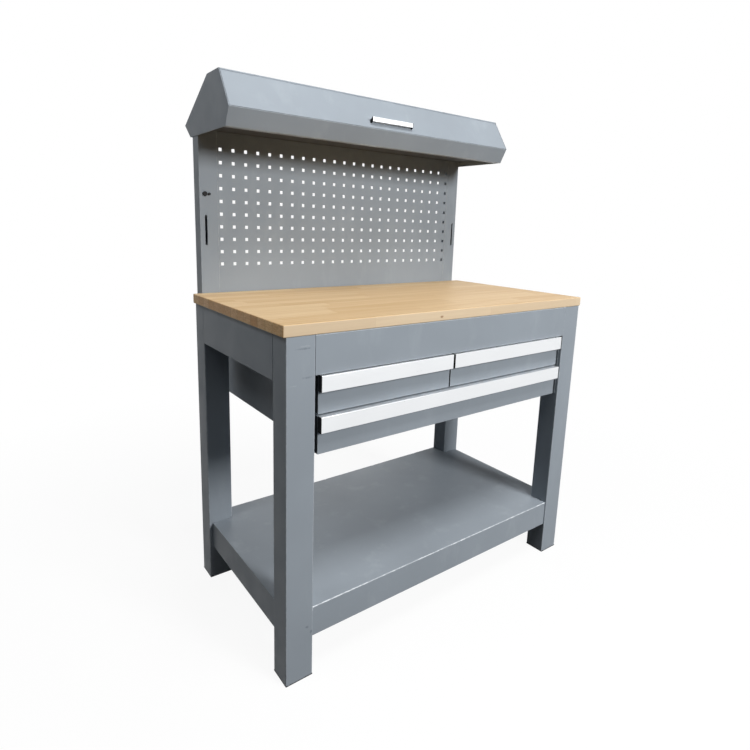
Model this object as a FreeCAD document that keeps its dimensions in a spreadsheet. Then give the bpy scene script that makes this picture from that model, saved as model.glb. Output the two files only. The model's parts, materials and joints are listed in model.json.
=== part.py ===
import FreeCAD, Part
import os
import re
import Sketcher

# Workbench with three drawers, a lower shelf and a perforated back panel under a hood.
# Millimetres, +X to the user's right, +Y to the back, +Z up, floor at zero.
# Heights are from the floor, depths are from the front edge of the table top.

SIZES = {
    # table top
    "top_width": 1150.0,
    "top_depth": 600.0,
    "top_thick": 29.0,
    "top_height": 947.0,
    # legs and feet
    "leg_wide": 78.0,
    "leg_deep": 68.0,
    "leg_wall": 2.0,
    "leg_side_inset": 7.0,
    "leg_front_inset": 0.0,
    "foot_high": 3.0,
    "foot_plug": 25.0,
    "foot_fit": 0.2,
    # sheet metal around the frame
    "sheet": 1.5,
    "apron_high": 117.0,
    "fascia_high": 99.0,
    "apron_flange": 30.0,
    "apron_lip": 14.0,
    # lower shelf
    "shelf_height": 197.0,
    "shelf_flange": 84.0,
    "shelf_side_set": 11.0,
    "shelf_front_set": 4.0,
    "rib_wide": 60.0,
    "rib_high": 30.0,
    # wood screws under the top
    "screw_radius": 2.5,
    "screw_head_radius": 5.0,
    "screw_head_high": 3.0,
    "screw_bite": 16.0,
    "screw_spread": 140.0,
    # drawer cabinet
    "cabinet_set": 25.0,
    "cabinet_back_set": 2.0,
    "edge_gap": 2.5,
    "edge_return": 14.0,
    "rail_deep": 30.0,
    "rail_clear": 4.0,
    "divider_flange": 24.0,
    # drawers
    "divide_set": 33.0,
    "drawer_gap": 4.0,
    "fascia_gap": 2.0,
    "leg_gap": 13.0,
    "upper_front_high": 100.0,
    "lower_front_high": 100.0,
    "front_deep": 12.0,
    "front_clear": 1.5,
    "pan_deep": 480.0,
    "pan_lift": 8.0,
    "pan_drop": 12.0,
    "pan_sheet": 1.2,
    # pull strips
    "pull_high": 41.0,
    "pull_proud": 6.0,
    "pull_deep": 15.0,
    "pull_sheet": 2.0,
    "pull_flange": 14.0,
    "cap_thick": 2.0,
    # drawer slides
    "slide_thick": 12.7,
    "slide_high": 45.0,
    "slide_sheet": 1.2,
    "slide_play": 0.5,
    "slide_reach": 9.3,
    "slide_long": 450.0,
    "slide_set": 5.5,
    # posts and perforated panel
    "post_side_set": 29.0,
    "post_drop": 130.0,
    "post_wide": 59.0,
    "post_deep": 46.0,
    "post_wall": 1.5,
    "post_floor": 4.0,
    "bolt_radius": 4.0,
    "bolt_head_radius": 7.0,
    "bolt_head_high": 5.5,
    "bolt_drop": 45.0,
    "bolt_pitch": 60.0,
    "bolt_bite": 12.0,
    "panel_sheet": 1.2,
    "panel_recess": 1.0,
    "panel_drop": 20.0,
    "panel_head_gap": 1.0,
    "panel_flange": 18.0,
    "hole_side": 10.0,
    "hole_pitch_across": 41.5,
    "hole_pitch_up": 38.7,
    "hole_margin": 8.0,
    "hole_head": 51.0,
    "hole_base": 105.0,
    # slots of the posts and push buttons
    "slot_rise": 195.0,
    "slot_set": 19.0,
    "slot_long": 91.0,
    "slot_wide": 7.0,
    "button_rise": 304.0,
    "button_set": 24.0,
    "button_pitch": 13.5,
    "lamp_button_radius": 7.0,
    "socket_button_radius": 4.0,
    "button_proud": 4.0,
    "button_long": 14.0,
    "button_play": 0.4,
    "button_travel": 2.5,
    "switch_wide": 34.0,
    "switch_high": 22.0,
    "switch_deep": 22.0,
    # hood
    "hood_lift": 471.0,
    "hood_reach": 245.0,
    "waist_rise": 49.0,
    "back_rise": 39.0,
    "door_rise": 104.0,
    "door_run": 64.0,
    "roof_deep": 87.0,
    "back_run": 198.0,
    "front_tuck": 25.0,
    "back_tuck": 46.0,
    "hood_end": 2.0,
    "floor_lift": 19.0,
    "band_lip": 18.0,
    "door_gap": 1.2,
    # hood hinge and handle
    "knuckle_radius": 3.5,
    "pin_radius": 1.5,
    "pin_play": 0.1,
    "leaf_long": 24.0,
    "leaf_sheet": 1.2,
    "leaf_gap": 1.0,
    "knuckle_gap": 0.5,
    "handle_long": 166.0,
    "handle_high": 14.0,
    "handle_sheet": 2.0,
    "handle_stand": 18.0,
    "handle_from_hinge": 91.0,
    "handle_flange": 8.0,
    # work lamp
    "lamp_long": 640.0,
    "lamp_deep": 30.0,
    "lamp_high": 9.0,
    "lamp_set": 22.0,
    "diffuser_high": 3.0,
    "diffuser_edge": 4.0,
}

DERIVED = {
    "hood_front": "top_depth - hood_reach",
    "hood_front_foot": "hood_front + front_tuck",
    "hood_top_front": "hood_front + door_run",
    "hood_top_back": "hood_top_front + roof_deep",
    "hood_back": "hood_top_back + back_run",
    "hood_back_foot": "hood_back - back_tuck",
    "hood_bottom": "top_height + hood_lift",
    "hood_waist": "hood_bottom + waist_rise",
    "hood_back_waist": "hood_bottom + back_rise",
    "hood_top": "hood_waist + door_rise",
    "hood_floor": "hood_bottom + floor_lift",
    "front_y": "(pull_proud - hood_back) / 2",
    "under_top": "top_height - top_thick",
    "leg_outer": "top_width / 2 - leg_side_inset",
    "leg_inner": "leg_outer - leg_wide",
    "leg_front_y": "front_y + leg_front_inset",
    "leg_back_y": "front_y + top_depth - leg_front_inset",
    "front_half": "leg_inner - leg_gap",
    "face_y": "front_y - pull_proud + pull_deep",
    "pan_y": "face_y + sheet",
    "upper_top": "under_top - fascia_high - fascia_gap",
    "upper_bottom": "upper_top - upper_front_high",
    "lower_top": "upper_bottom - drawer_gap",
    "lower_bottom": "lower_top - lower_front_high",
    "upper_slide_z": "upper_bottom + (upper_front_high + pan_lift - pan_drop) / 2",
    "lower_slide_z": "lower_bottom + (lower_front_high + pan_lift - pan_drop) / 2",
    "cabinet_y": "face_y + front_deep + front_clear",
    "cabinet_half": "leg_inner - cabinet_set",
    "cabinet_inner": "cabinet_half - sheet",
    "cabinet_edge": "cabinet_set + sheet - edge_gap",
    "cabinet_back": "top_depth - cabinet_back_set",
    "apron_stop": "top_depth - apron_flange - edge_gap",
    "fascia_flange": "cabinet_y - leg_front_y - sheet",
    "rail_high": "pan_drop + drawer_gap / 2 - rail_clear",
    "middle_high": "slide_high - 2 * slide_sheet - 2 * slide_play",
    "inner_high": "middle_high - 2 * slide_sheet - 2 * slide_play",
    "post_y": "front_y + top_depth",
    "post_bottom": "top_height - post_drop",
    "post_half": "top_width / 2 - post_side_set",
    "post_inner": "post_half - post_wide",
    "panel_y": "post_y + panel_recess",
    "panel_bottom": "top_height - panel_drop",
    "panel_top": "hood_floor - panel_head_gap",
    "hole_top_row": "panel_top - hole_head",
    "slot_height": "top_height + slot_rise",
    "slot_offset": "post_half - slot_set",
    "slot_round": "slot_wide / 2",
    "slot_straight": "slot_long - slot_wide",
    "button_height": "top_height + button_rise",
    "button_offset": "post_half - button_set",
    "hood_inner": "post_half",
    "hood_half": "hood_inner + hood_end",
    "door_slope": "sqrt(door_run * door_run + door_rise * door_rise)",
    "slope_upright": "door_rise / door_slope",
    "slope_lean": "door_run / door_slope",
    "hinge_slip": "knuckle_radius * (door_slope - door_run) / door_rise",
    "hinge_y": "front_y + hood_top_front + hinge_slip",
    "hinge_z": "hood_top - knuckle_radius",
    "door_half": "hood_inner - door_gap",
}

KNUCKLES = 11

doc = FreeCAD.newDocument("Workbench")
sheet = doc.addObject("Spreadsheet::Sheet", "Sizes")
row = 1
for alias, value in SIZES.items():
    sheet.set("A%d" % row, alias)
    sheet.set("B%d" % row, str(value))
    sheet.setAlias("B%d" % row, alias)
    row += 1
for alias, formula in DERIVED.items():
    sheet.set("A%d" % row, alias)
    sheet.set("B%d" % row, "=" + formula)
    sheet.setAlias("B%d" % row, alias)
    row += 1
doc.recompute()

ALIASES = set(SIZES) | set(DERIVED)
nodes = {}


def expression(text):
    """Text with every size name pointed at the sheet."""
    def point(match):
        word = match.group(0)
        return "Sizes." + word if word in ALIASES else word
    return re.sub(r"[a-z][a-z_]*", point, text)


def size(text):
    """Present value of an expression in size names."""
    return float(sheet.evalExpression(expression(text)))


def bind(item, path, text):
    item.setExpression(path, expression(text))


def bind_base(item, corner):
    for axis, text in zip("xyz", corner):
        bind(item, "Placement.Base." + axis, text)


def box(name, corner, size):
    item = doc.addObject("Part::Box", name)
    for path, text in zip(("Length", "Width", "Height"), size):
        bind(item, path, text)
    bind_base(item, corner)
    return item


TURN = {
    "x": FreeCAD.Rotation(FreeCAD.Vector(0, 1, 0), 90),
    "y": FreeCAD.Rotation(FreeCAD.Vector(1, 0, 0), -90),
    "z": FreeCAD.Rotation(),
}


def cylinder(name, axis, start, radius, length):
    item = doc.addObject("Part::Cylinder", name)
    item.Placement = FreeCAD.Placement(FreeCAD.Vector(), TURN[axis])
    bind(item, "Radius", radius)
    bind(item, "Height", length)
    bind_base(item, start)
    return item


def fuse(name, pieces):
    item = doc.addObject("Part::MultiFuse", name)
    item.Shapes = pieces
    item.Refine = True
    return item


def cut(name, base, tools):
    item = doc.addObject("Part::Cut", name)
    item.Base = base
    item.Tool = tools[0] if len(tools) == 1 else group(name + "_tools", tools)
    item.Refine = True
    return item


def group(name, pieces):
    item = doc.addObject("Part::Compound", name)
    item.Links = pieces
    return item


def mirror(name, source):
    item = doc.addObject("Part::Mirroring", name)
    item.Source = source
    item.Normal = FreeCAD.Vector(1, 0, 0)
    item.Base = FreeCAD.Vector(0, 0, 0)
    return item


def node(name, item):
    item.Label = name
    nodes[name] = item
    return item


def origin_plane(body, role):
    for feature in body.Origin.OriginFeatures:
        if feature.Role == role:
            return feature
    raise ValueError("no plane " + role)


def profile(name, points, half):
    """Side profile of (depth, height) points, padded evenly to both sides of X zero."""
    body = doc.addObject("PartDesign::Body", name)
    sketch = body.newObject("Sketcher::SketchObject", name + "_sketch")
    sketch.AttachmentSupport = [(origin_plane(body, "YZ_Plane"), "")]
    sketch.MapMode = "FlatFace"
    values = []
    for depth, height in points:
        values.append(FreeCAD.Vector(size(depth), size(height), 0))
    count = len(values)
    for index in range(count):
        sketch.addGeometry(Part.LineSegment(values[index], values[(index + 1) % count]), False)
    for index in range(count):
        sketch.addConstraint(Sketcher.Constraint("Coincident", index, 2, (index + 1) % count, 1))
    for index, (depth, height) in enumerate(points):
        at = sketch.addConstraint(Sketcher.Constraint("DistanceX", -1, 1, index, 1, values[index].x))
        bind(sketch, "Constraints[%d]" % at, depth)
        at = sketch.addConstraint(Sketcher.Constraint("DistanceY", -1, 1, index, 1, values[index].y))
        bind(sketch, "Constraints[%d]" % at, height)
    pad = body.newObject("PartDesign::Pad", name + "_pad")
    pad.Profile = sketch
    bind(pad, "Length", "2 * (%s)" % half)
    pad.SideType = "Symmetric"
    bind(body, "Placement.Base.y", "front_y")
    return body


# Bolts through the posts into the back legs
leg_bores = {}
post_bores = {}
bolts = []
for across, side in (("left", "-"), ("right", "")):
    leg_bores[across] = []
    post_bores[across] = []
    for turn in range(2):
        mark = "_%s_%d" % (across, turn)
        middle = side + "(post_half - post_wide / 2)"
        height = "under_top - bolt_drop - %d * bolt_pitch" % turn
        start = "post_y - leg_wall - bolt_bite"
        long = "leg_wall + bolt_bite + post_deep"
        leg_bores[across].append(cylinder("leg_bore" + mark, "y", (middle, "post_y - leg_wall", height),
                                          "bolt_radius", "leg_wall"))
        post_bores[across].append(cylinder("post_bore" + mark, "y", (middle, "post_y", height),
                                           "bolt_radius", "post_deep"))
        shank = cylinder("bolt_shank" + mark, "y", (middle, start, height), "bolt_radius", long)
        head = cylinder("bolt_head" + mark, "y", (middle, "post_y + post_deep", height),
                        "bolt_head_radius", "bolt_head_high")
        bolts.append(fuse("bolt" + mark, [shank, head]))
node("post_bolts", group("post_bolts", bolts))

# Table top, with blind holes for the wood screws
SCREW_SPOTS = []
for side in ("-", ""):
    across = "%s(leg_outer - apron_flange / 2)" % side
    for turn in ("-", "+"):
        SCREW_SPOTS.append((across, "front_y + top_depth / 2 %s screw_spread" % turn))
for turn in ("-", "+"):
    SCREW_SPOTS.append(("0 %s 2 * screw_spread" % turn, "leg_front_y + (sheet + fascia_flange) / 2"))
for turn in ("-", "+"):
    SCREW_SPOTS.append(("0 %s 2 * screw_spread" % turn, "leg_back_y - apron_flange / 2"))
screw_holes = []
flange_holes = []
screws = []
for index, spot in enumerate(SCREW_SPOTS):
    at = list(spot)
    screw_holes.append(cylinder("screw_hole%d" % index, "z", at + ["under_top"],
                                "screw_radius", "screw_bite"))
    flange_holes.append(cylinder("flange_hole%d" % index, "z", at + ["under_top - sheet"],
                                 "screw_radius", "sheet"))
    shank = cylinder("screw_shank%d" % index, "z", at + ["under_top - sheet"],
                     "screw_radius", "screw_bite + sheet")
    head = cylinder("screw_head%d" % index, "z", at + ["under_top - sheet - screw_head_high"],
                    "screw_head_radius", "screw_head_high")
    screws.append(fuse("screw%d" % index, [shank, head]))
node("top_screws", group("top_screws", screws))
slab = box("slab", ("-top_width / 2", "front_y", "under_top"), ("top_width", "top_depth", "top_thick"))
node("table_top", cut("table_top", slab, screw_holes))

# Legs of box section, and their plastic feet
feet = []
for across, left in (("left", "-leg_outer"), ("right", "leg_inner")):
    for along, near in (("front", "leg_front_y"), ("back", "leg_back_y - leg_deep")):
        name = "leg_%s_%s" % (along, across)
        outer = box(name + "_outer", (left, near, "foot_high"),
                    ("leg_wide", "leg_deep", "under_top - foot_high"))
        bore = box(name + "_bore", (left + " + leg_wall", near + " + leg_wall", "foot_high"),
                   ("leg_wide - 2 * leg_wall", "leg_deep - 2 * leg_wall", "under_top - foot_high"))
        bores = leg_bores[across] if along == "back" else []
        node(name, cut(name, outer, [bore] + bores))
        pad = box(name + "_pad", (left, near, "0"), ("leg_wide", "leg_deep", "foot_high"))
        plug_set = " + leg_wall + foot_fit"
        plug = box(name + "_plug", (left + plug_set, near + plug_set, "foot_high"),
                   ("leg_wide - 2 * (leg_wall + foot_fit)", "leg_deep - 2 * (leg_wall + foot_fit)",
                    "foot_plug"))
        feet.append(fuse(name + "_foot", [pad, plug]))
node("feet", group("feet", feet))

# Side aprons, back apron and front fascia: channels of sheet under the top
for across, web_x, flange_x, lip_x, holes in (
        ("left", "-leg_outer", "-leg_outer", "-leg_outer", flange_holes[0:2]),
        ("right", "leg_outer - sheet", "leg_outer - apron_flange", "leg_outer - apron_lip",
         flange_holes[2:4])):
    name = "apron_" + across
    start = "leg_front_y + leg_deep"
    run = "top_depth - 2 * (leg_front_inset + leg_deep)"
    web = box(name + "_web", (web_x, start, "under_top - apron_high"), ("sheet", run, "apron_high"))
    flange = box(name + "_flange", (flange_x, start, "under_top - sheet"), ("apron_flange", run, "sheet"))
    lip = box(name + "_lip", (lip_x, start, "under_top - apron_high"), ("apron_lip", run, "sheet"))
    node(name, cut(name, fuse(name + "_bent", [web, flange, lip]), holes))
for name, high, deep, half, web_y, flange_y, lip_y, holes in (
        ("fascia_front", "fascia_high", "fascia_flange", "leg_inner",
         "leg_front_y", "leg_front_y", "leg_front_y", flange_holes[4:6]),
        ("apron_back", "apron_high", "apron_flange", "(cabinet_inner - edge_gap)",
         "leg_back_y - sheet", "leg_back_y - apron_flange", "leg_back_y - apron_lip", flange_holes[6:8])):
    run = "2 * " + half
    web = box(name + "_web", ("-leg_inner", web_y, "under_top - " + high), ("2 * leg_inner", "sheet", high))
    flange = box(name + "_flange", ("-" + half, flange_y, "under_top - sheet"), (run, deep, "sheet"))
    lip = box(name + "_lip", ("-" + half, lip_y, "under_top - " + high), (run, "apron_lip", "sheet"))
    node(name, cut(name, fuse(name + "_bent", [web, flange, lip]), holes))

# Lower shelf: a tray with turned-down flanges, notched around the legs, and two ribs under it
shelf_parts = {}
for step, inset in (("outer", "0"), ("inner", "sheet")):
    low = "shelf_height - shelf_flange"
    high = "shelf_flange" if step == "outer" else "shelf_flange - sheet"
    long_part = box("shelf_long_" + step,
                    ("-leg_inner + %s" % inset, "leg_front_y + shelf_front_set + %s" % inset, low),
                    ("2 * (leg_inner - %s)" % inset,
                     "top_depth - 2 * (leg_front_inset + shelf_front_set + %s)" % inset, high))
    wide_part = box("shelf_wide_" + step,
                    ("-leg_outer + shelf_side_set + %s" % inset, "leg_front_y + leg_deep + %s" % inset, low),
                    ("2 * (leg_outer - shelf_side_set - %s)" % inset,
                     "top_depth - 2 * (leg_front_inset + leg_deep + %s)" % inset, high))
    shelf_parts[step] = fuse("shelf_" + step, [long_part, wide_part])
node("shelf", cut("shelf", shelf_parts["outer"], [shelf_parts["inner"]]))
ribs = []
for mark, middle in (("left", "-leg_inner / 2"), ("right", "leg_inner / 2")):
    run = "top_depth - 2 * (leg_front_inset + shelf_front_set + sheet)"
    start = "leg_front_y + shelf_front_set + sheet"
    outer = box("rib_outer_" + mark, (middle + " - rib_wide / 2", start, "shelf_height - sheet - rib_high"),
                ("rib_wide", run, "rib_high"))
    bore = box("rib_bore_" + mark, (middle + " - rib_wide / 2 + sheet", start, "shelf_height - rib_high"),
               ("rib_wide - 2 * sheet", run, "rib_high - sheet"))
    ribs.append(cut("rib_" + mark, outer, [bore]))
node("shelf_ribs", group("shelf_ribs", ribs))

# Drawer cabinet: two sides, two cross rails and the divider between the upper drawers
for across, panel_x, edge_x, return_x, flange_x in (
        ("left", "-cabinet_half", "-cabinet_inner - cabinet_edge", "-cabinet_inner - cabinet_edge",
         "-cabinet_half"),
        ("right", "cabinet_inner", "cabinet_inner", "cabinet_inner + cabinet_edge - sheet",
         "cabinet_half - apron_lip")):
    name = "cabinet_side_" + across
    run = "cabinet_back - (cabinet_y - front_y)"
    panel = box(name + "_panel", (panel_x, "cabinet_y", "lower_bottom"),
                ("sheet", run, "under_top - lower_bottom"))
    edge = box(name + "_edge", (edge_x, "cabinet_y", "lower_bottom"),
               ("cabinet_edge", "sheet", "upper_top - lower_bottom"))
    turned = box(name + "_turned", (return_x, "cabinet_y - edge_return", "lower_bottom"),
                 ("sheet", "edge_return + sheet", "upper_top - lower_bottom"))
    lip = box(name + "_lip", (flange_x, "cabinet_y + apron_flange", "under_top - sheet"),
              ("apron_lip", "apron_stop - (cabinet_y - front_y) - apron_flange", "sheet"))
    node(name, fuse(name, [panel, edge, turned, lip]))
rails = []
rail_top = "upper_bottom - drawer_gap / 2"
for mark, near in (("front", "cabinet_y + 2 * sheet"), ("back", "front_y + apron_stop - rail_deep")):
    outer = box("rail_outer_" + mark, ("-cabinet_inner", near, rail_top + " - rail_high"),
                ("2 * cabinet_inner", "rail_deep", "rail_high"))
    bore = box("rail_bore_" + mark, ("-cabinet_inner", near + " + sheet", rail_top + " - rail_high"),
               ("2 * cabinet_inner", "rail_deep - 2 * sheet", "rail_high - sheet"))
    rails.append(cut("rail_" + mark, outer, [bore]))
node("cabinet_rails", group("cabinet_rails", rails))
divider_run = "apron_stop - (cabinet_y - front_y) - 2 * sheet"
divider_web = box("divider_web", ("-divide_set - sheet / 2", "cabinet_y + 2 * sheet", rail_top),
                  ("sheet", divider_run, "under_top - (%s)" % rail_top))
divider_head = box("divider_head", ("-divide_set - divider_flange / 2", "cabinet_y + apron_flange",
                                    "under_top - sheet"),
                   ("divider_flange", divider_run + " - apron_flange", "sheet"))
node("cabinet_divider", fuse("cabinet_divider", [divider_web, divider_head]))


def slide_channel(name, wall, way, near, far, web, high, middle):
    """One rolled channel of a slide: near and far are distances from the wall it hangs on."""
    along = "cabinet_y + slide_set"
    inner_near = near + " + slide_sheet" if web == "near" else near
    span = "(%s) - (%s)" % (far, near)
    pieces = []
    for mark, left, wide, tall in (
            ("outer", near, span, high),
            ("bore", inner_near, span + " - slide_sheet", high + " - 2 * slide_sheet")):
        corner = "%s + %s" % (wall, left) if way > 0 else "%s - (%s) - (%s)" % (wall, left, wide)
        pieces.append(box("%s_%s" % (name, mark), (corner, along, "%s - (%s) / 2" % (middle, tall)),
                          (wide, "slide_long", tall)))
    return cut(name, pieces[0], [pieces[1]])


# Drawers: pan, front, pull strip with two end caps, and the three channels of each slide
fixed_channels = []
for key, left_x, right_x, left_wall, right_wall, low, high, middle in (
        ("left", "-front_half", "-divide_set - drawer_gap / 2", "-cabinet_inner", "-divide_set - sheet / 2",
         "upper_bottom", "upper_front_high", "upper_slide_z"),
        ("right", "-divide_set + drawer_gap / 2", "front_half", "-divide_set + sheet / 2", "cabinet_inner",
         "upper_bottom", "upper_front_high", "upper_slide_z"),
        ("lower", "-front_half", "front_half", "-cabinet_inner", "cabinet_inner",
         "lower_bottom", "lower_front_high", "lower_slide_z")):
    wide = "(%s) - (%s)" % (right_x, left_x)
    top = "%s + %s" % (low, high)
    front_name = "drawer_front_" + key
    plate = box(front_name + "_plate", (left_x, "face_y", low), (wide, "front_deep", high))
    hollow = box(front_name + "_hollow", (left_x + " + sheet", "face_y + sheet", low + " + sheet"),
                 (wide + " - 2 * sheet", "front_deep", high + " - 2 * sheet"))
    node(front_name, cut(front_name, plate, [hollow]))

    pan_name = "drawer_pan_" + key
    pan_x = left_wall + " + slide_thick"
    pan_wide = "(%s) - (%s) - 2 * slide_thick" % (right_wall, left_wall)
    pan_high = high + " - pan_lift - pan_drop"
    shell = box(pan_name + "_shell", (pan_x, "pan_y", low + " + pan_lift"), (pan_wide, "pan_deep", pan_high))
    inside = box(pan_name + "_inside",
                 (pan_x + " + pan_sheet", "pan_y + pan_sheet", low + " + pan_lift + pan_sheet"),
                 (pan_wide + " - 2 * pan_sheet", "pan_deep - 2 * pan_sheet", pan_high))
    node(pan_name, cut(pan_name, shell, [inside]))

    pull_name = "pull_" + key
    pull_x = left_x + " + cap_thick"
    pull_wide = wide + " - 2 * cap_thick"
    blade = box(pull_name + "_blade", (pull_x, "face_y - pull_deep", top + " - pull_high"),
                (pull_wide, "pull_sheet", "pull_high"))
    roof = box(pull_name + "_roof", (pull_x, "face_y - pull_deep", top + " - pull_sheet"),
               (pull_wide, "pull_deep", "pull_sheet"))
    flange = box(pull_name + "_flange", (pull_x, "face_y - pull_sheet", top + " - pull_flange"),
                 (pull_wide, "pull_sheet", "pull_flange"))
    node(pull_name, fuse(pull_name, [blade, roof, flange]))
    caps = []
    for mark, cap_x in (("a", left_x), ("b", right_x + " - cap_thick")):
        caps.append(box("%s_cap_%s" % (pull_name, mark), (cap_x, "face_y - pull_deep", top + " - pull_high"),
                        ("cap_thick", "pull_deep", "pull_high")))
    node("pull_caps_" + key, group("pull_caps_" + key, caps))

    middles = []
    inners = []
    for mark, wall, way in (("a", left_wall, 1), ("b", right_wall, -1)):
        fixed_channels.append(slide_channel("slide_fixed_%s_%s" % (key, mark), wall, way,
                                            "0", "slide_reach", "near", "slide_high", middle))
        middles.append(slide_channel("slide_middle_%s_%s" % (key, mark), wall, way,
                                     "slide_sheet + slide_play", "slide_sheet + slide_play + slide_reach",
                                     "near", "middle_high", middle))
        inners.append(slide_channel("slide_inner_%s_%s" % (key, mark), wall, way,
                                    "2 * (slide_sheet + slide_play)", "slide_thick",
                                    "far", "inner_high", middle))
    node("slide_middle_" + key, group("slide_middle_" + key, middles))
    node("slide_inner_" + key, group("slide_inner_" + key, inners))
node("slide_fixed", group("slide_fixed", fixed_channels))

# Posts behind the table top: an upright slot in each, holes for the two push buttons in the left one
button_holes = []
buttons = []
button_wells = []
for key, turn in (("lamp", "-"), ("socket", "+")):
    at = ["-button_offset %s button_pitch / 2" % turn]
    height = ["button_height"]
    radius = key + "_button_radius"
    button_holes.append(cylinder("button_hole_" + key, "y", at + ["post_y"] + height,
                                 radius + " + button_play", "post_wall"))
    button_wells.append(cylinder("button_well_" + key, "y", at + ["post_y + post_wall"] + height,
                                 radius + " + button_play",
                                 "button_long - button_proud - post_wall + button_travel + button_play"))
    buttons.append(cylinder("button_" + key, "y", at + ["post_y - button_proud"] + height,
                            radius, "button_long"))
for across, left, slot_x, holes in (("left", "-post_half", "-slot_offset", button_holes),
                                    ("right", "post_inner", "slot_offset", [])):
    name = "post_" + across
    outer = box(name + "_outer", (left, "post_y", "post_bottom"),
                ("post_wide", "post_deep", "hood_floor - post_bottom"))
    bore = box(name + "_bore", (left + " + post_wall", "post_y + post_wall", "post_bottom + post_floor"),
               ("post_wide - 2 * post_wall", "post_deep - 2 * post_wall", "hood_floor - post_bottom"))
    slot_low = "slot_height - slot_straight / 2"
    slot = [box(name + "_slot", (slot_x + " - slot_round", "post_y", slot_low),
                ("slot_wide", "post_wall", "slot_straight"))]
    for mark, end in (("low", slot_low), ("high", slot_low + " + slot_straight")):
        slot.append(cylinder("%s_slot_%s" % (name, mark), "y", [slot_x, "post_y", end],
                             "slot_round", "post_wall"))
    node(name, cut(name, outer, [bore] + post_bores[across] + slot + holes))
switch_block = box("switch_block", ("-button_offset - switch_wide / 2", "post_y + post_wall",
                                    "button_height - switch_high / 2"),
                   ("switch_wide", "switch_deep", "switch_high"))
node("switch_body", cut("switch_body", switch_block, button_wells))
node("button_lamp", buttons[0])
node("button_socket", buttons[1])

# Perforated panel between the posts
body = doc.addObject("PartDesign::Body", "panel_body")
outline = body.newObject("Sketcher::SketchObject", "panel_outline")
outline.AttachmentSupport = [(origin_plane(body, "XZ_Plane"), "")]
outline.MapMode = "FlatFace"


def rectangle(sketch, left, low, wide, high):
    """Rectangle in a sketch from its lower left corner, bound to the sheet."""
    values = [size(text) for text in (left, low, wide, high)]
    corners = [FreeCAD.Vector(values[0], values[1], 0),
               FreeCAD.Vector(values[0] + values[2], values[1], 0),
               FreeCAD.Vector(values[0] + values[2], values[1] + values[3], 0),
               FreeCAD.Vector(values[0], values[1] + values[3], 0)]
    for index in range(4):
        sketch.addGeometry(Part.LineSegment(corners[index], corners[(index + 1) % 4]), False)
    for index in range(4):
        sketch.addConstraint(Sketcher.Constraint("Coincident", index, 2, (index + 1) % 4, 1))
    for index in (0, 2):
        sketch.addConstraint(Sketcher.Constraint("Horizontal", index))
    for index in (1, 3):
        sketch.addConstraint(Sketcher.Constraint("Vertical", index))
    for kind, first, second, value, text in (
            ("DistanceX", (-1, 1), (0, 1), values[0], left),
            ("DistanceY", (-1, 1), (0, 1), values[1], low),
            ("DistanceX", (0, 1), (0, 2), values[2], wide),
            ("DistanceY", (1, 1), (1, 2), values[3], high)):
        at = sketch.addConstraint(Sketcher.Constraint(kind, first[0], first[1], second[0], second[1], value))
        bind(sketch, "Constraints[%d]" % at, text)


rectangle(outline, "-post_inner", "panel_bottom", "2 * post_inner", "panel_top - panel_bottom")
panel_pad = body.newObject("PartDesign::Pad", "panel_pad")
panel_pad.Profile = outline
panel_pad.Reversed = True
bind(panel_pad, "Length", "panel_sheet")
first_hole = body.newObject("Sketcher::SketchObject", "panel_hole")
first_hole.AttachmentSupport = [(origin_plane(body, "XZ_Plane"), "")]
first_hole.MapMode = "FlatFace"
hole_columns = 1 + int(size("(2 * post_inner - 2 * hole_margin) / hole_pitch_across"))
hole_rows = 1 + int(size("(panel_top - panel_bottom - hole_head - hole_base) / hole_pitch_up"))
rectangle(first_hole, "-%s * hole_pitch_across / 2 - hole_side / 2" % (hole_columns - 1),
          "hole_top_row - %d * hole_pitch_up - hole_side / 2" % (hole_rows - 1), "hole_side", "hole_side")
hole_pocket = body.newObject("PartDesign::Pocket", "panel_pocket")
hole_pocket.Profile = first_hole
hole_pocket.Reversed = False
bind(hole_pocket, "Length", "panel_sheet")
doc.recompute()
multi = body.newObject("PartDesign::MultiTransform", "panel_holes")
multi.Originals = [hole_pocket]
patterns = []
for direction, count, pitch in (("H_Axis", hole_columns, "hole_pitch_across"),
                                ("V_Axis", hole_rows, "hole_pitch_up")):
    pattern = body.newObject("PartDesign::LinearPattern", "panel_pattern_" + direction[0])
    pattern.Direction = (first_hole, [direction])
    bind(pattern, "Length", "%d * %s" % (count - 1, pitch))
    pattern.Occurrences = count
    patterns.append(pattern)
multi.Transformations = patterns
body.Tip = multi
bind(body, "Placement.Base.y", "panel_y")
flanges = []
for mark, low in (("low", "panel_bottom"), ("high", "panel_top - panel_sheet")):
    flanges.append(box("panel_flange_" + mark, ("-post_inner", "panel_y", low),
                       ("2 * post_inner", "panel_flange", "panel_sheet")))
for mark, left in (("left", "-post_inner"), ("right", "post_inner - panel_sheet")):
    flanges.append(box("panel_flange_" + mark, (left, "panel_y", "panel_bottom"),
                       ("panel_sheet", "panel_flange", "panel_top - panel_bottom")))
node("back_panel", fuse("back_panel", [body] + flanges))

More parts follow.
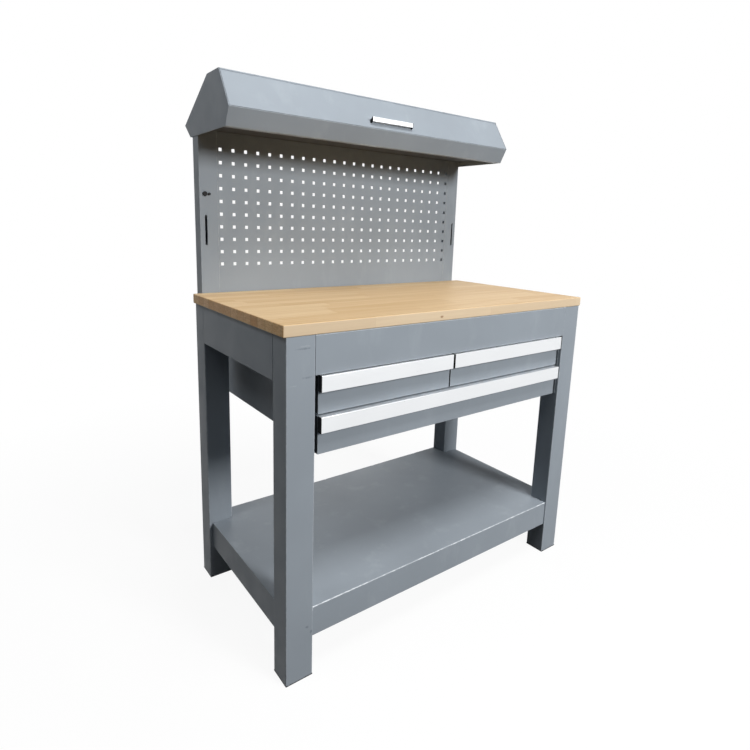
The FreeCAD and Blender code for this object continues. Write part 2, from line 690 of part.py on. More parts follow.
# Hood: two end plates, the bent top and back, the front band and the floor
end_points = [("hood_front_foot", "hood_bottom"), ("hood_front", "hood_waist"),
              ("hood_top_front", "hood_top"), ("hood_top_back", "hood_top"),
              ("hood_back", "hood_back_waist"), ("hood_back_foot", "hood_bottom")]
end_plate = profile("hood_end_plate", end_points, "hood_end / 2")
bind(end_plate, "Placement.Base.x", "-hood_half + hood_end / 2")
node("hood_end_left", end_plate)
node("hood_end_right", mirror("hood_end_right", end_plate))
shell_start = "hood_top_front + 2 * knuckle_radius"
node("hood_shell", profile("hood_shell", [
    (shell_start, "hood_top"), ("hood_top_back", "hood_top"),
    ("hood_back", "hood_back_waist"), ("hood_back_foot", "hood_bottom"),
    ("hood_back_foot - 2 * sheet", "hood_bottom"), ("hood_back - 2 * sheet", "hood_back_waist"),
    ("hood_top_back - sheet / 4", "hood_top - sheet"), (shell_start, "hood_top - sheet")], "hood_inner"))
node("hood_band", profile("hood_band", [
    ("hood_front_foot", "hood_bottom"), ("hood_front", "hood_waist"),
    ("hood_front + band_lip", "hood_waist"), ("hood_front + band_lip", "hood_waist - sheet"),
    ("hood_front + 5 * sheet / 3", "hood_waist - sheet"),
    ("hood_front_foot + 2 * sheet / 3", "hood_bottom + sheet"),
    ("hood_front_foot + band_lip", "hood_bottom + sheet"), ("hood_front_foot + band_lip", "hood_bottom")],
    "hood_inner"))
node("hood_floor", box("hood_floor", ("-hood_inner", "front_y + hood_front_foot", "hood_floor"),
                       ("2 * hood_inner", "hood_back_foot - hood_front_foot", "sheet")))


def stand_on_slope(item):
    """Put a piece drawn about the hinge axis, with +Y down the slope and -Z outward, in its place."""
    item.Placement = FreeCAD.Placement(FreeCAD.Vector(), FreeCAD.Rotation(FreeCAD.Vector(1, 0, 0), 1))
    bind(item, "Placement.Rotation.Angle", "180 deg + atan(door_rise / door_run)")
    bind_base(item, ("0", "hinge_y", "hinge_z"))
    return item


# Hood door on the slope, with its handle
door_end = "door_slope - hinge_slip - door_gap"
door_start = "knuckle_radius + door_gap"
door_sheet = box("door_sheet", ("-door_half", door_start, "-knuckle_radius"),
                 ("2 * door_half", "(%s) - (%s)" % (door_end, door_start), "sheet"))
door_rib = box("door_rib", ("-door_half", door_end + " - band_lip / 2", "-knuckle_radius"),
               ("2 * door_half", "sheet", "band_lip / 2"))
node("hood_door", stand_on_slope(fuse("hood_door", [door_sheet, door_rib])))
handle_face = "-knuckle_radius"
handle_edge = "handle_from_hinge + handle_high * slope_upright"
handle_rim = "-knuckle_radius - handle_stand + handle_high * slope_lean"
node("hood_handle", stand_on_slope(profile("hood_handle", [
    ("handle_from_hinge", handle_face), ("handle_from_hinge", "-knuckle_radius - handle_stand"),
    (handle_edge, handle_rim),
    (handle_edge + " - handle_sheet * slope_lean", handle_rim + " + handle_sheet * slope_upright"),
    ("handle_from_hinge + handle_sheet",
     "-knuckle_radius - handle_stand + handle_sheet * (1 + slope_lean) / slope_upright"),
    ("handle_from_hinge + handle_sheet", "-knuckle_radius - handle_sheet"),
    ("handle_from_hinge + handle_flange", "-knuckle_radius - handle_sheet"),
    ("handle_from_hinge + handle_flange", handle_face)], "handle_long / 2 - cap_thick")))
cap = profile("handle_cap", [
    ("handle_from_hinge", handle_face), ("handle_from_hinge", "-knuckle_radius - handle_stand"),
    (handle_edge, handle_rim), (handle_edge, handle_face)], "cap_thick / 2")
bind_base(cap, ("(cap_thick - handle_long) / 2", "0", "0"))
node("handle_caps", stand_on_slope(group("handle_caps", [cap, mirror("handle_cap_right", cap)])))


def hinge_leaf(name, first, low, bore):
    """Leaf of the long hinge, drawn about its axis, with every second knuckle from the first one."""
    plate = box(name + "_plate", ("-door_half", "knuckle_radius + leaf_gap", low),
                ("2 * door_half", "leaf_long - knuckle_radius - leaf_gap", "leaf_sheet"))
    pieces = [plate]
    for index in range(first, KNUCKLES, 2):
        left = "-door_half + %d * 2 * door_half / %d + knuckle_gap / 2" % (index, KNUCKLES)
        long = "2 * door_half / %d - knuckle_gap" % KNUCKLES
        pieces.append(cylinder("%s_knuckle%d" % (name, index), "x", (left, "0", "0"), "knuckle_radius", long))
        pieces.append(box("%s_tab%d" % (name, index), (left, "0", low),
                          (long, "knuckle_radius + leaf_gap + leaf_sheet", "leaf_sheet")))
    hole = cylinder(name + "_hole", "x", ("-door_half", "0", "0"), bore, "2 * door_half")
    return cut(name, fuse(name + "_rolled", pieces), [hole])


# Long hinge at the upper edge of the door
fixed_leaf = hinge_leaf("hinge_leaf_fixed", 0, "knuckle_radius - sheet - leaf_sheet", "pin_radius")
bind_base(fixed_leaf, ("0", "hinge_y", "hinge_z"))
node("hinge_leaf_fixed", fixed_leaf)
node("hinge_leaf_door", stand_on_slope(
    hinge_leaf("hinge_leaf_door", 1, "sheet - knuckle_radius", "pin_radius + pin_play")))
node("hinge_pin", cylinder("hinge_pin", "x", ("-door_half", "hinge_y", "hinge_z"),
                           "pin_radius", "2 * door_half"))

# Work lamp under the hood floor, behind the band
lamp_y = "front_y + hood_front_foot + lamp_set"
node("lamp_body", box("lamp_body", ("-lamp_long / 2", lamp_y, "hood_floor - lamp_high"),
                      ("lamp_long", "lamp_deep", "lamp_high")))
node("lamp_diffuser", box("lamp_diffuser", ("-lamp_long / 2 + diffuser_edge", lamp_y + " + diffuser_edge",
                                            "hood_floor - lamp_high - diffuser_high"),
                          ("lamp_long - 2 * diffuser_edge", "lamp_deep - 2 * diffuser_edge",
                           "diffuser_high")))

doc.recompute()
for item in doc.Objects:
    if "Invalid" in item.State or "Error" in item.State:
        raise ValueError("%s did not build: %s" % (item.Name, item.State))
os.makedirs("parts", exist_ok=True)
for name, item in nodes.items():
    if item.Shape.isNull() or not item.Shape.isValid():
        raise ValueError("%s has no valid shape" % name)
    item.Shape.exportStep("parts/%s.step" % name)
    print("%s solids %d volume %.0f" % (name, len(item.Shape.Solids), item.Shape.Volume))
print("nodes %d" % len(nodes))
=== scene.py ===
"""Workbench with a laminated wood top, three drawers, a lower shelf and a perforated panel
under a hood."""
import json
import math

import bmesh
import bpy
from mathutils import Matrix, Vector


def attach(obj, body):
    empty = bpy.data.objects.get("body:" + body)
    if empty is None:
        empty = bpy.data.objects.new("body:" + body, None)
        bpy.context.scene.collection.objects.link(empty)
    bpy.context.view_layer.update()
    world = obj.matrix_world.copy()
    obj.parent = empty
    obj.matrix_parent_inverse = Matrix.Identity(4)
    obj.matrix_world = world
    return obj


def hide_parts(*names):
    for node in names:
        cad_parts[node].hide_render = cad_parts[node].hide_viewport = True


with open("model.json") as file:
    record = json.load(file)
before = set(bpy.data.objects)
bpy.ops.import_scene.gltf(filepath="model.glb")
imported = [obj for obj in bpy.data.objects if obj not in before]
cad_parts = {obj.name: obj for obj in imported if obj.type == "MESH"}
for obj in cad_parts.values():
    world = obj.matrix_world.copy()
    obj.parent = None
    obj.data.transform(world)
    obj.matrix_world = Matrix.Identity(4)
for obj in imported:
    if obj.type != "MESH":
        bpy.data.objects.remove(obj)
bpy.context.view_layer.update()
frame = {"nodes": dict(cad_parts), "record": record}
scene = bpy.context.scene
scene.view_settings.view_transform = "Standard"

# The body and the material slot of each node
BODY_OF = {}
for body_name, node_names in frame["record"]["behaviour"]["bodies"].items():
    for node_name in node_names:
        BODY_OF[node_name] = body_name
SLOT_OF = {}
for entry in frame["record"]["subparts"]:
    SLOT_OF[entry["node"]] = entry["material_slot"]


# Shader helpers
class Nodes:
    """Short calls for building one material's node tree."""

    def __init__(self, name):
        self.material = bpy.data.materials.new(name)
        self.material.use_nodes = True
        self.tree = self.material.node_tree
        self.tree.nodes.clear()
        self.out = self.tree.nodes.new("ShaderNodeOutputMaterial")
        self.shader = self.tree.nodes.new("ShaderNodeBsdfPrincipled")
        self.link(self.shader.outputs["BSDF"], self.out.inputs["Surface"])

    def link(self, source, target):
        self.tree.links.new(source, target)

    def put(self, target, value):
        """Link a socket to the target, or set the target to a plain value."""
        if isinstance(value, bpy.types.NodeSocket):
            self.link(value, target)
        else:
            target.default_value = value

    def coords(self):
        return self.tree.nodes.new("ShaderNodeTexCoord").outputs["Object"]

    def normal(self):
        return self.tree.nodes.new("ShaderNodeNewGeometry").outputs["Normal"]

    def attribute(self, name):
        item = self.tree.nodes.new("ShaderNodeAttribute")
        item.attribute_name = name
        return item.outputs["Fac"]

    def scaled(self, vector, scale):
        item = self.tree.nodes.new("ShaderNodeMapping")
        self.put(item.inputs["Vector"], vector)
        item.inputs["Scale"].default_value = scale
        return item.outputs["Vector"]

    def split(self, vector):
        item = self.tree.nodes.new("ShaderNodeSeparateXYZ")
        self.put(item.inputs[0], vector)
        return item.outputs

    def join(self, first, second, third):
        item = self.tree.nodes.new("ShaderNodeCombineXYZ")
        for socket, value in zip(item.inputs, (first, second, third)):
            self.put(socket, value)
        return item.outputs[0]

    def noise(self, vector, scale, detail=3.0, rough=0.5, distortion=0.0):
        item = self.tree.nodes.new("ShaderNodeTexNoise")
        self.put(item.inputs["Vector"], vector)
        item.inputs["Scale"].default_value = scale
        item.inputs["Detail"].default_value = detail
        item.inputs["Roughness"].default_value = rough
        item.inputs["Distortion"].default_value = distortion
        return item.outputs["Fac"]

    def chance(self, vector):
        """One fixed value of 0 to 1 for each place."""
        item = self.tree.nodes.new("ShaderNodeTexWhiteNoise")
        item.noise_dimensions = "3D"
        self.put(item.inputs["Vector"], vector)
        return item.outputs["Value"]

    def math(self, kind, first, second=0.0):
        item = self.tree.nodes.new("ShaderNodeMath")
        item.operation = kind
        self.put(item.inputs[0], first)
        self.put(item.inputs[1], second)
        return item.outputs[0]

    def times(self, first, second):
        return self.math("MULTIPLY", first, second)

    def plus(self, first, second):
        return self.math("ADD", first, second)

    def remap(self, value, low, high, to_low, to_high):
        """Carry the range low to high over to the range to_low to to_high, and clamp it there."""
        item = self.tree.nodes.new("ShaderNodeMapRange")
        self.put(item.inputs["Value"], value)
        item.inputs["From Min"].default_value = low
        item.inputs["From Max"].default_value = high
        item.inputs["To Min"].default_value = to_low
        item.inputs["To Max"].default_value = to_high
        return item.outputs["Result"]

    def mix(self, factor, first, second):
        item = self.tree.nodes.new("ShaderNodeMix")
        item.data_type = "RGBA"
        self.put(item.inputs["Factor"], factor)
        self.put(item.inputs[6], first)
        self.put(item.inputs[7], second)
        return item.outputs[2]

    def ramp(self, factor, stops):
        item = self.tree.nodes.new("ShaderNodeValToRGB")
        self.put(item.inputs["Fac"], factor)
        ramp = item.color_ramp
        while len(ramp.elements) < len(stops):
            ramp.elements.new(0.5)
        for element, (place, colour) in zip(ramp.elements, stops):
            element.position = place
            element.color = colour
        return item.outputs["Color"]

    def bump(self, height, strength, distance):
        item = self.tree.nodes.new("ShaderNodeBump")
        item.inputs["Strength"].default_value = strength
        item.inputs["Distance"].default_value = distance
        self.put(item.inputs["Height"], height)
        self.link(item.outputs["Normal"], self.shader.inputs["Normal"])

    def set(self, **values):
        for key, value in values.items():
            self.put(self.shader.inputs[key.replace("_", " ")], value)


def linear(red, green, blue):
    """Colour given as display values of 0 to 255."""
    parts = []
    for value in (red, green, blue):
        share = value / 255.0
        parts.append(share / 12.92 if share <= 0.04045 else ((share + 0.055) / 1.055) ** 2.4)
    return (parts[0], parts[1], parts[2], 1.0)


def shaded(colour, factor, lift=0.0):
    """A colour made lighter or darker by a factor and a lift."""
    return tuple(min(1.0, c * factor + lift) for c in colour[:3]) + (1.0,)


def spot(n, across, up, place, reach, wander):
    """1 inside a ragged oval about a place on a face, fading to 0 at its rim."""
    left = n.math("DIVIDE", n.math("SUBTRACT", across, place[0]), reach[0])
    high = n.math("DIVIDE", n.math("SUBTRACT", up, place[1]), reach[1])
    away = n.math("SQRT", n.plus(n.times(left, left), n.times(high, high)))
    return n.remap(n.plus(away, wander), 0.35, 1.1, 1.0, 0.0)


def faces_front(n, facing):
    """1 on faces that look to the front, else 0."""
    return n.remap(facing[1], -1.0, -0.6, 1.0, 0.0)


# Materials
PAINT_ROUGH = 0.42
PAINT_GLOSS = 0.1
# Strength of the lighter edges, partly wear and partly painted highlight
EDGE_WEAR_AND_HIGHLIGHT = 0.35


def paint(name, base, worn_and_highlight, rough=PAINT_ROUGH, wear_and_highlight=EDGE_WEAR_AND_HIGHLIGHT, scuffs=(), highlight_zone=None, side_shade=None):
    """Smooth baked paint: faint cloudiness, fine orange peel and lighter edges, partly rubbed wear
    and partly painted highlight.

    scuffs are marks on the front face: place, reach, strength and colour.
    The highlight zone gives the height above which, and the depth in front of which, edges get a
    strong painted highlight.
    The side shade is a dark colour painted as shade on the faces that look left and right."""
    n = Nodes(name)
    at = n.coords()
    x, y, z = n.split(at)[0:3]
    cloud = n.noise(at, scale=3.0, detail=4.0, rough=0.55)
    dust = n.noise(n.scaled(at, (1, 1, 0.35)), scale=14.0, detail=5.0, rough=0.6)
    colour = n.mix(n.remap(cloud, 0.3, 0.7, 0.0, 1.0), shaded(base, 0.94), shaded(base, 1.05))
    colour = n.mix(n.remap(dust, 0.55, 0.8, 0.0, 0.12), colour, worn_and_highlight)
    patches = n.remap(n.noise(at, scale=60.0), 0.42, 0.62, 0.4 * wear_and_highlight, wear_and_highlight)
    # Painted highlight on edges above a height and in front of a depth
    if highlight_zone:
        lowest, deepest = highlight_zone
        front = n.remap(n.math("LESS_THAN", y, deepest), 0.0, 1.0, 0.2, 1.0)
        patches = n.times(patches, n.times(n.math("GREATER_THAN", z, lowest), front))
    # Lighter edges: partly wear, partly painted highlight
    colour = n.mix(n.times(n.attribute("edge"), patches), colour, worn_and_highlight)
    if scuffs:
        ahead = faces_front(n, n.split(n.normal()))
        wander = n.remap(n.noise(at, scale=150.0, detail=5.0, rough=0.7), 0.3, 0.7, -0.5, 0.7)
        for place, reach, strength, tint in scuffs:
            mark = n.times(spot(n, x, z, place, reach, wander), ahead)
            colour = n.mix(n.times(mark, strength), colour, tint)
    # Painted shade: faces that look left and right are darkened towards a dark colour
    if side_shade:
        sideways = n.math("ABSOLUTE", n.split(n.normal())[0])
        colour = n.mix(n.remap(sideways, 0.7, 0.95, 0.0, 1.0), colour, side_shade)
    gloss = n.noise(at, scale=22.0, detail=4.0)
    n.set(Base_Color=colour, Roughness=n.remap(gloss, 0.3, 0.7, rough - 0.05, rough + 0.07),
          Specular_IOR_Level=PAINT_GLOSS)
    n.bump(n.noise(at, scale=900.0, detail=2.0), strength=0.10, distance=0.0006)
    return n.material


STAVE_WIDE = 0.0415
STAVE_LONG = 0.43
STAVE_SHIFT = 0.45
STAVE_TONES = [(0.0, linear(206, 174, 129)), (0.35, linear(211, 180, 136)),
               (0.7, linear(215, 185, 142)), (1.0, linear(220, 192, 150))]
END_TONES = [(0.0, linear(212, 160, 98)), (1.0, linear(242, 202, 142))]
# Paler tint for the top's front faces: painted light
FRONT_LIGHT_TINT = linear(236, 228, 212)
KNOT_PLACE = (-0.0872, 0.9295)
KNOT_REACH = (0.0075, 0.0042)


def wood(name):
    """Pale finger-jointed staves along X, a front edge painted paler as painted light, and end
    grain on the two ends.
    """
    n = Nodes(name)
    at = n.coords()
    x, y, z = n.split(at)[0:3]
    # Each stave: its row across the top, its piece along the row, and two chances of its own
    lanes = n.math("DIVIDE", n.plus(y, 1.003), STAVE_WIDE)
    row = n.math("FLOOR", lanes)
    shift = n.times(n.chance(n.join(row, 3.7, 1.1)), STAVE_SHIFT)
    along = n.math("DIVIDE", n.plus(n.plus(x, 5.0), shift), STAVE_LONG)
    piece = n.math("FLOOR", along)
    luck = n.chance(n.join(row, piece, 2.3))
    other = n.chance(n.join(piece, row, 9.1))
    # Long figure and fine grain
    grain_at = n.join(n.times(x, 1.6), n.plus(n.times(y, 34.0), n.times(other, 7.0)),
                      n.plus(n.times(z, 34.0), n.times(luck, 5.0)))
    figure = n.noise(grain_at, scale=1.6, detail=5.0, rough=0.6, distortion=0.7)
    fine_at = n.join(n.times(x, 14.0), n.times(y, 520.0), n.times(z, 520.0))
    fine = n.noise(fine_at, scale=1.0, rough=0.6)
    colour = n.mix(n.remap(figure, 0.42, 0.70, 0.0, 0.4), n.ramp(luck, STAVE_TONES),
                   linear(190, 152, 104))
    colour = n.mix(n.remap(fine, 0.52, 0.75, 0.0, 0.22), colour, linear(178, 140, 94))
    # Glue seams between the rows and butt joints in them
    side = n.math("ABSOLUTE", n.math("SUBTRACT", n.math("FRACT", lanes), 0.5))
    end = n.math("ABSOLUTE", n.math("SUBTRACT", n.math("FRACT", along), 0.5))
    seam = n.math("MAXIMUM", n.remap(side, 0.484, 0.497, 0.0, 1.0),
                  n.remap(end, 0.4975, 0.4995, 0.0, 0.6))
    colour = n.mix(n.times(seam, 0.3), colour, linear(150, 108, 64))
    # Front faces painted paler as painted light, with one small knot
    facing = n.split(n.normal())
    ahead = faces_front(n, facing)
    colour = n.mix(n.times(ahead, 0.32), colour, FRONT_LIGHT_TINT)
    wander = n.remap(n.noise(at, scale=220.0, detail=4.0, rough=0.6), 0.3, 0.7, -0.3, 0.4)
    knot = n.times(spot(n, x, z, KNOT_PLACE, KNOT_REACH, wander), ahead)
    colour = n.mix(n.times(knot, 0.8), colour, linear(132, 88, 48))
    # End grain
    rings_at = n.join(n.times(luck, 90.0), n.times(y, 60.0), n.times(z, 260.0))
    rings = n.noise(rings_at, scale=1.0, detail=4.0, rough=0.6, distortion=1.2)
    block = n.ramp(n.chance(n.join(row, 8.2, 4.4)), END_TONES)
    ends = n.mix(n.remap(rings, 0.4, 0.75, 0.0, 0.8), block, linear(186, 132, 74))
    ends = n.mix(n.times(seam, 0.7), ends, linear(110, 74, 40))
    sideways = n.math("ABSOLUTE", facing[0])
    colour = n.mix(n.remap(sideways, 0.6, 0.9, 0.0, 1.0), colour, ends)
    n.set(Base_Color=colour, Roughness=n.remap(figure, 0.3, 0.7, 0.42, 0.54),
          Specular_IOR_Level=0.3)
    relief = n.math("SUBTRACT", n.times(fine, 0.4), n.times(seam, 0.6))
    n.bump(relief, strength=0.2, distance=0.0005)
    return n.material


def brushed(name, base, rough, stretch, depth, metallic=1.0):
    """Metal with fine drawn lines along one axis; depth is how far the lines darken it."""
    n = Nodes(name)
    at = n.coords()
    lines = n.noise(n.scaled(at, stretch), scale=1.0, rough=0.6)
    cloud = n.noise(at, scale=9.0)
    colour = n.mix(n.remap(lines, 0.3, 0.7, 0.0, 1.0), shaded(base, 1.0 - depth), base)
    sheen = n.plus(n.remap(lines, 0.3, 0.7, rough - 0.03, rough + 0.04),
                   n.remap(cloud, 0.3, 0.7, -0.02, 0.03))
    n.set(Base_Color=colour, Metallic=metallic, Roughness=sheen)
    n.bump(lines, strength=0.4 * depth, distance=0.0004)
    return n.material


def moulded(name, base, rough):
    """Plastic with a fine moulded texture."""
    n = Nodes(name)
    at = n.coords()
    cloud = n.noise(at, scale=40.0)
    colour = n.mix(n.remap(cloud, 0.4, 0.75, 0.0, 1.0), base, shaded(base, 1.6, 0.004))
    n.set(Base_Color=colour, Roughness=n.remap(cloud, 0.3, 0.7, rough - 0.06, rough + 0.08),
          Specular_IOR_Level=0.15)
    n.bump(n.noise(at, scale=1400.0, detail=2.0), strength=0.2, distance=0.0004)
    return n.material


GREY = linear(150, 158, 166)
# Lighter edge colour, partly worn paint and partly painted highlight
WORN_AND_HIGHLIGHT = linear(204, 211, 217)
# Near-white colour for the shelf's painted edge highlight
SHELF_EDGE_HIGHLIGHT = linear(226, 231, 235)
DARK_SCUFF = linear(84, 92, 98)
PALE_SCUFF = linear(184, 190, 195)
# Dark colour for the drawer fronts' side faces: painted shade
PAINTED_SIDE_SHADE = linear(38, 40, 42)
MATERIAL = {
    "grey_paint": paint("grey_paint", GREY, WORN_AND_HIGHLIGHT),
    # dark_paint is painted shade: the hood floor gets a darker grey than the rest of the paint,
    # standing in for the deep shade under the hood
    "dark_paint": paint("dark_paint", linear(94, 96, 98), linear(120, 122, 124), rough=0.6),
    "white_paint": paint("white_paint", linear(226, 226, 224), linear(240, 240, 238), rough=0.45),
    "laminated_wood": wood("laminated_wood"),
    "pull_aluminium": brushed("pull_aluminium", linear(236, 238, 240), 0.32, (6, 500, 500), 0.015,
                              metallic=0.75),
    "zinc_steel": brushed("zinc_steel", linear(196, 198, 200), 0.34, (300, 8, 300), 0.1),
    "black_plastic": moulded("black_plastic", linear(16, 16, 18), 0.5),
    "lamp_diffuser": moulded("lamp_diffuser", linear(236, 236, 230), 0.35),
}
# Handling marks on the front of the left front leg
LEG_SCUFFS = (
    ((-0.521, 0.888), (0.020, 0.0025), 0.35, DARK_SCUFF),
    ((-0.519, 0.894), (0.018, 0.0020), 0.35, PALE_SCUFF),
    ((-0.510, 0.818), (0.018, 0.0030), 0.30, DARK_SCUFF),
    ((-0.550, 0.802), (0.013, 0.0016), 0.40, PALE_SCUFF),
    ((-0.508, 0.150), (0.006, 0.0050), 0.45, DARK_SCUFF),
    ((-0.495, 0.130), (0.005, 0.0070), 0.45, DARK_SCUFF),
)
# Painted highlight on the shelf's top front edge: just below the shelf's top and just behind its
# front
SHELF_HIGHLIGHT_ZONE = (0.187, -0.335)
OWN_MATERIAL = {
    # Shelf: painted highlight on its top front edge
    "shelf": paint("grey_paint_shelf_highlight", GREY, SHELF_EDGE_HIGHLIGHT, wear_and_highlight=1.0, highlight_zone=SHELF_HIGHLIGHT_ZONE),
    "leg_front_left": paint("grey_paint_scuffed", GREY, WORN_AND_HIGHLIGHT, scuffs=LEG_SCUFFS),
}
# Drawer fronts with painted shade on the faces that look left and right
SHADE_SIDED_PAINT = paint("grey_paint_shade_on_sides", GREY, WORN_AND_HIGHLIGHT, side_shade=PAINTED_SIDE_SHADE)
for key in ("left", "right", "lower"):
    OWN_MATERIAL["drawer_front_" + key] = SHADE_SIDED_PAINT

# Dressed copies of the solids: wide edges get a bend radius, sheet rims a small break
THIN_FACE = 0.004
SAME_POINT = 2e-6
COLLAPSED = 1e-5
FLAT_ANGLE = math.radians(0.6)
SHARP_ANGLE = math.radians(20)
SHADING_ANGLE = math.radians(48)
BEND_STEPS = 3
RIM_STEPS = 1


def face_width(face):
    return 2.0 * face.calc_area() / max(face.calc_perimeter(), 1e-9)


def sharp_edges(bm, wide):
    """Convex edges between wide faces, or else those with a thin face beside them."""
    found = []
    for edge in bm.edges:
        if len(edge.link_faces) != 2 or not edge.is_convex:
            continue
        if edge.calc_face_angle(0.0) < SHARP_ANGLE:
            continue
        widths = [face_width(face) for face in edge.link_faces]
        if (min(widths) > THIN_FACE) == wide:
            found.append(edge)
    return found


def round_edges(bm, edges, radius, steps, layer):
    """Round the edges, and mark the new faces for the paint's lighter edges, which are partly wear
    and partly painted highlight.
    """
    if not edges:
        return
    made = bmesh.ops.bevel(bm, geom=edges, offset=radius, offset_type="OFFSET", segments=steps,
                           profile=0.5, affect="EDGES", clamp_overlap=True)
    for face in made["faces"]:
        if face.is_valid:
            face[layer] = 1.0
    bmesh.ops.dissolve_degenerate(bm, dist=COLLAPSED, edges=bm.edges)


def dress(node, bend, rim):
    """Put a copy of a node's solid with rounded edges in the place of the node."""
    source = frame["nodes"][node]
    bm = bmesh.new()
    bm.from_mesh(source.data)
    bmesh.ops.remove_doubles(bm, verts=bm.verts, dist=SAME_POINT)
    bmesh.ops.dissolve_limit(bm, angle_limit=FLAT_ANGLE, verts=bm.verts, edges=bm.edges)
    layer = bm.faces.layers.float.new("edge")
    round_edges(bm, sharp_edges(bm, True), bend, BEND_STEPS, layer)
    if rim:
        round_edges(bm, sharp_edges(bm, False), rim, RIM_STEPS, layer)
    mesh = bpy.data.meshes.new(node + "_dressed")
    bm.to_mesh(mesh)
    bm.free()
    for polygon in mesh.polygons:
        polygon.use_smooth = True
    mesh.set_sharp_from_angle(angle=SHADING_ANGLE)
    piece = bpy.data.objects.new(node + "_dressed", mesh)
    scene.collection.objects.link(piece)
    hard = piece.modifiers.new("normals", "WEIGHTED_NORMAL")
    hard.keep_sharp = True
    mesh.materials.append(OWN_MATERIAL.get(node, MATERIAL[SLOT_OF[node]]))
    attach(piece, BODY_OF[node])
    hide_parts(node)


RIM = 0.0004
LEG_BEND = 0.003
LEGS = ("leg_front_left", "leg_front_right", "leg_back_left", "leg_back_right")
SHEET_BEND = 0.0022
SHEETS = (
    "apron_left", "apron_right", "fascia_front", "apron_back", "shelf", "shelf_ribs",
    "cabinet_side_left", "cabinet_side_right", "cabinet_divider", "cabinet_rails",
    "drawer_front_left", "drawer_front_right", "drawer_front_lower",
    "drawer_pan_left", "drawer_pan_right", "drawer_pan_lower", "post_left", "post_right",
    "hood_shell", "hood_band", "hood_floor", "hood_door",
)
OTHER_BEND = {
    "table_top": 0.0025, "feet": 0.0015, "hood_handle": 0.001,
    "hood_end_left": 0.0007, "hood_end_right": 0.0007,
    "lamp_body": 0.002, "lamp_diffuser": 0.001, "handle_caps": 0.0008,
    "pull_caps_left": 0.0008, "pull_caps_right": 0.0008, "pull_caps_lower": 0.0008,
    "pull_left": 0.0012, "pull_right": 0.0012, "pull_lower": 0.0012,
}
for name in LEGS:
    dress(name, LEG_BEND, 0.0)
for name in SHEETS:
    dress(name, SHEET_BEND, RIM)
for name, radius in OTHER_BEND.items():
    dress(name, radius, RIM)
for name, item in frame["nodes"].items():
    item.data.materials.clear()
    item.data.materials.append(MATERIAL[SLOT_OF[name]])


# Floor and backdrop
def seen_directly(tree):
    """1 for rays that come from the camera, a mirror or glass, else 0."""
    path = tree.nodes.new("ShaderNodeLightPath")
    total = path.outputs["Is Camera Ray"]
    for ray in ("Is Glossy Ray", "Is Transmission Ray"):
        most = tree.nodes.new("ShaderNodeMath")
        most.operation = "MAXIMUM"
        tree.links.new(total, most.inputs[0])
        tree.links.new(path.outputs[ray], most.inputs[1])
        total = most.outputs[0]
    return total


def blended(tree, factor, first, second):
    item = tree.nodes.new("ShaderNodeMixShader")
    tree.links.new(factor, item.inputs[0])
    tree.links.new(first, item.inputs[1])
    tree.links.new(second, item.inputs[2])
    return item.outputs[0]


FLOOR_HALF = 30.0
FLOOR_PALE = (0.95, 0.95, 0.95, 1)
FLOOR_BOUNCE = (0.04, 0.042, 0.044, 1)
SHADOW_NEAR, SHADOW_FAR = 0.9, 2.2
GLOW_NEAR, GLOW_FAR = 0.92, 1.0


def studio_floor(name):
    """Floor that shows white with a soft shadow near the object and plain white further out."""
    n = Nodes(name)
    tree = n.tree
    tree.nodes.remove(n.shader)
    away = tree.nodes.new("ShaderNodeVectorMath")
    away.operation = "LENGTH"
    n.put(away.inputs[0], n.coords())
    share = n.remap(away.outputs["Value"], SHADOW_NEAR, SHADOW_FAR, GLOW_NEAR, GLOW_FAR)
    lit = tree.nodes.new("ShaderNodeBsdfDiffuse")
    lit.inputs["Color"].default_value = FLOOR_PALE
    glow = tree.nodes.new("ShaderNodeEmission")
    bounce = tree.nodes.new("ShaderNodeBsdfDiffuse")
    bounce.inputs["Color"].default_value = FLOOR_BOUNCE
    shown = blended(tree, share, lit.outputs[0], glow.outputs[0])
    whole = blended(tree, seen_directly(tree), bounce.outputs[0], shown)
    n.link(whole, n.out.inputs["Surface"])
    return n.material


floor_mesh = bpy.data.meshes.new("floor")
floor_mesh.from_pydata([(-FLOOR_HALF, -FLOOR_HALF, 0), (FLOOR_HALF, -FLOOR_HALF, 0),
                        (FLOOR_HALF, FLOOR_HALF, 0), (-FLOOR_HALF, FLOOR_HALF, 0)],
                       [], [(0, 1, 2, 3)])
floor = bpy.data.objects.new("floor", floor_mesh)
floor_mesh.materials.append(studio_floor("floor_white"))
scene.collection.objects.link(floor)

world = bpy.data.worlds.new("studio")
scene.world = world
world.use_nodes = True
sky = world.node_tree
sky.nodes.clear()
world_out = sky.nodes.new("ShaderNodeOutputWorld")
soft = sky.nodes.new("ShaderNodeBackground")
soft.inputs["Color"].default_value = (0.93, 0.97, 1.0, 1)
soft.inputs["Strength"].default_value = 0.018
white = sky.nodes.new("ShaderNodeBackground")
white.inputs["Color"].default_value = (1, 1, 1, 1)
backdrop = blended(sky, seen_directly(sky), soft.outputs[0], white.outputs[0])
sky.links.new(backdrop, world_out.inputs["Surface"])


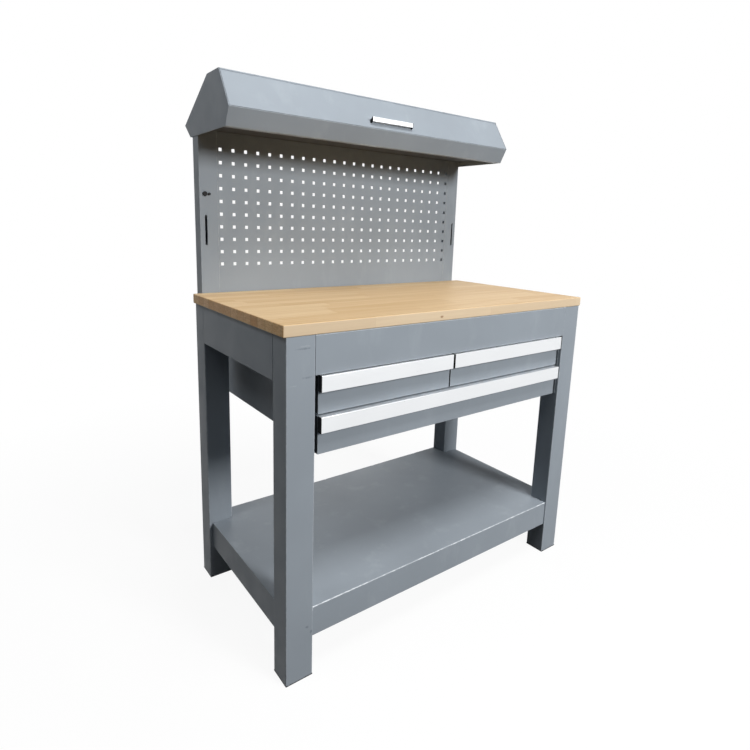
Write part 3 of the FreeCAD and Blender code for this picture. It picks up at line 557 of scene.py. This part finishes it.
# Lamps: name, place, target, width and height, power
LAMPS = (
    ("key", (1.0, -4.3, 2.65), (0.0, 0.0, 0.8), (1.1, 1.2), 170),
    ("top", (0.1, -1.8, 5.2), (0.0, -0.1, 0.9), (1.9, 1.6), 138),
    ("side", (-1.9, -0.1, 3.2), (-0.5, 0.0, 1.0), (1.0, 1.0), 17),
    ("behind", (1.4, 3.0, 0.38), (0.0, 0.2, 0.8), (1.7, 0.5), 85),
    ("right", (2.4, 0.6, 0.55), (0.5, 0.1, 0.8), (1.2, 0.8), 4),
)
for name, place, target, size, power in LAMPS:
    data = bpy.data.lights.new(name, "AREA")
    data.shape = "RECTANGLE"
    data.size, data.size_y = size
    data.energy = power
    lamp = bpy.data.objects.new(name, data)
    lamp.location = place
    aim = Vector(target) - Vector(place)
    lamp.rotation_euler = aim.to_track_quat("-Z", "Y").to_euler()
    scene.collection.objects.link(lamp)

# Camera at the photograph's place and angle; lengths in the frame are in pixels
FRAME_SIDE = 750.0
FOCAL = 540.69
CENTRE = (368.65, 329.11)
SENSOR = 36.0
CAMERA_PLACE = Vector((-1.1261, -1.4118, 1.1744))
YAW, PITCH, ROLL = math.radians(36.561), math.radians(-10.981), math.radians(1.712)
ahead = Vector((math.sin(YAW) * math.cos(PITCH), math.cos(YAW) * math.cos(PITCH), math.sin(PITCH)))
flat_right = Vector((math.cos(YAW), -math.sin(YAW), 0.0))
flat_up = flat_right.cross(ahead)
right = flat_right * math.cos(ROLL) + flat_up * math.sin(ROLL)
up = flat_up * math.cos(ROLL) - flat_right * math.sin(ROLL)
camera_data = bpy.data.cameras.new("camera")
camera_data.sensor_fit = "HORIZONTAL"
camera_data.sensor_width = SENSOR
camera_data.lens = SENSOR * FOCAL / FRAME_SIDE
camera_data.shift_x = (FRAME_SIDE / 2 - CENTRE[0]) / FRAME_SIDE
camera_data.shift_y = (CENTRE[1] - FRAME_SIDE / 2) / FRAME_SIDE
camera_data.clip_end = 200.0
camera = bpy.data.objects.new("camera", camera_data)
turn = Matrix((right, up, -ahead)).transposed().to_4x4()
camera.matrix_world = Matrix.Translation(CAMERA_PLACE) @ turn
scene.collection.objects.link(camera)
scene.camera = camera
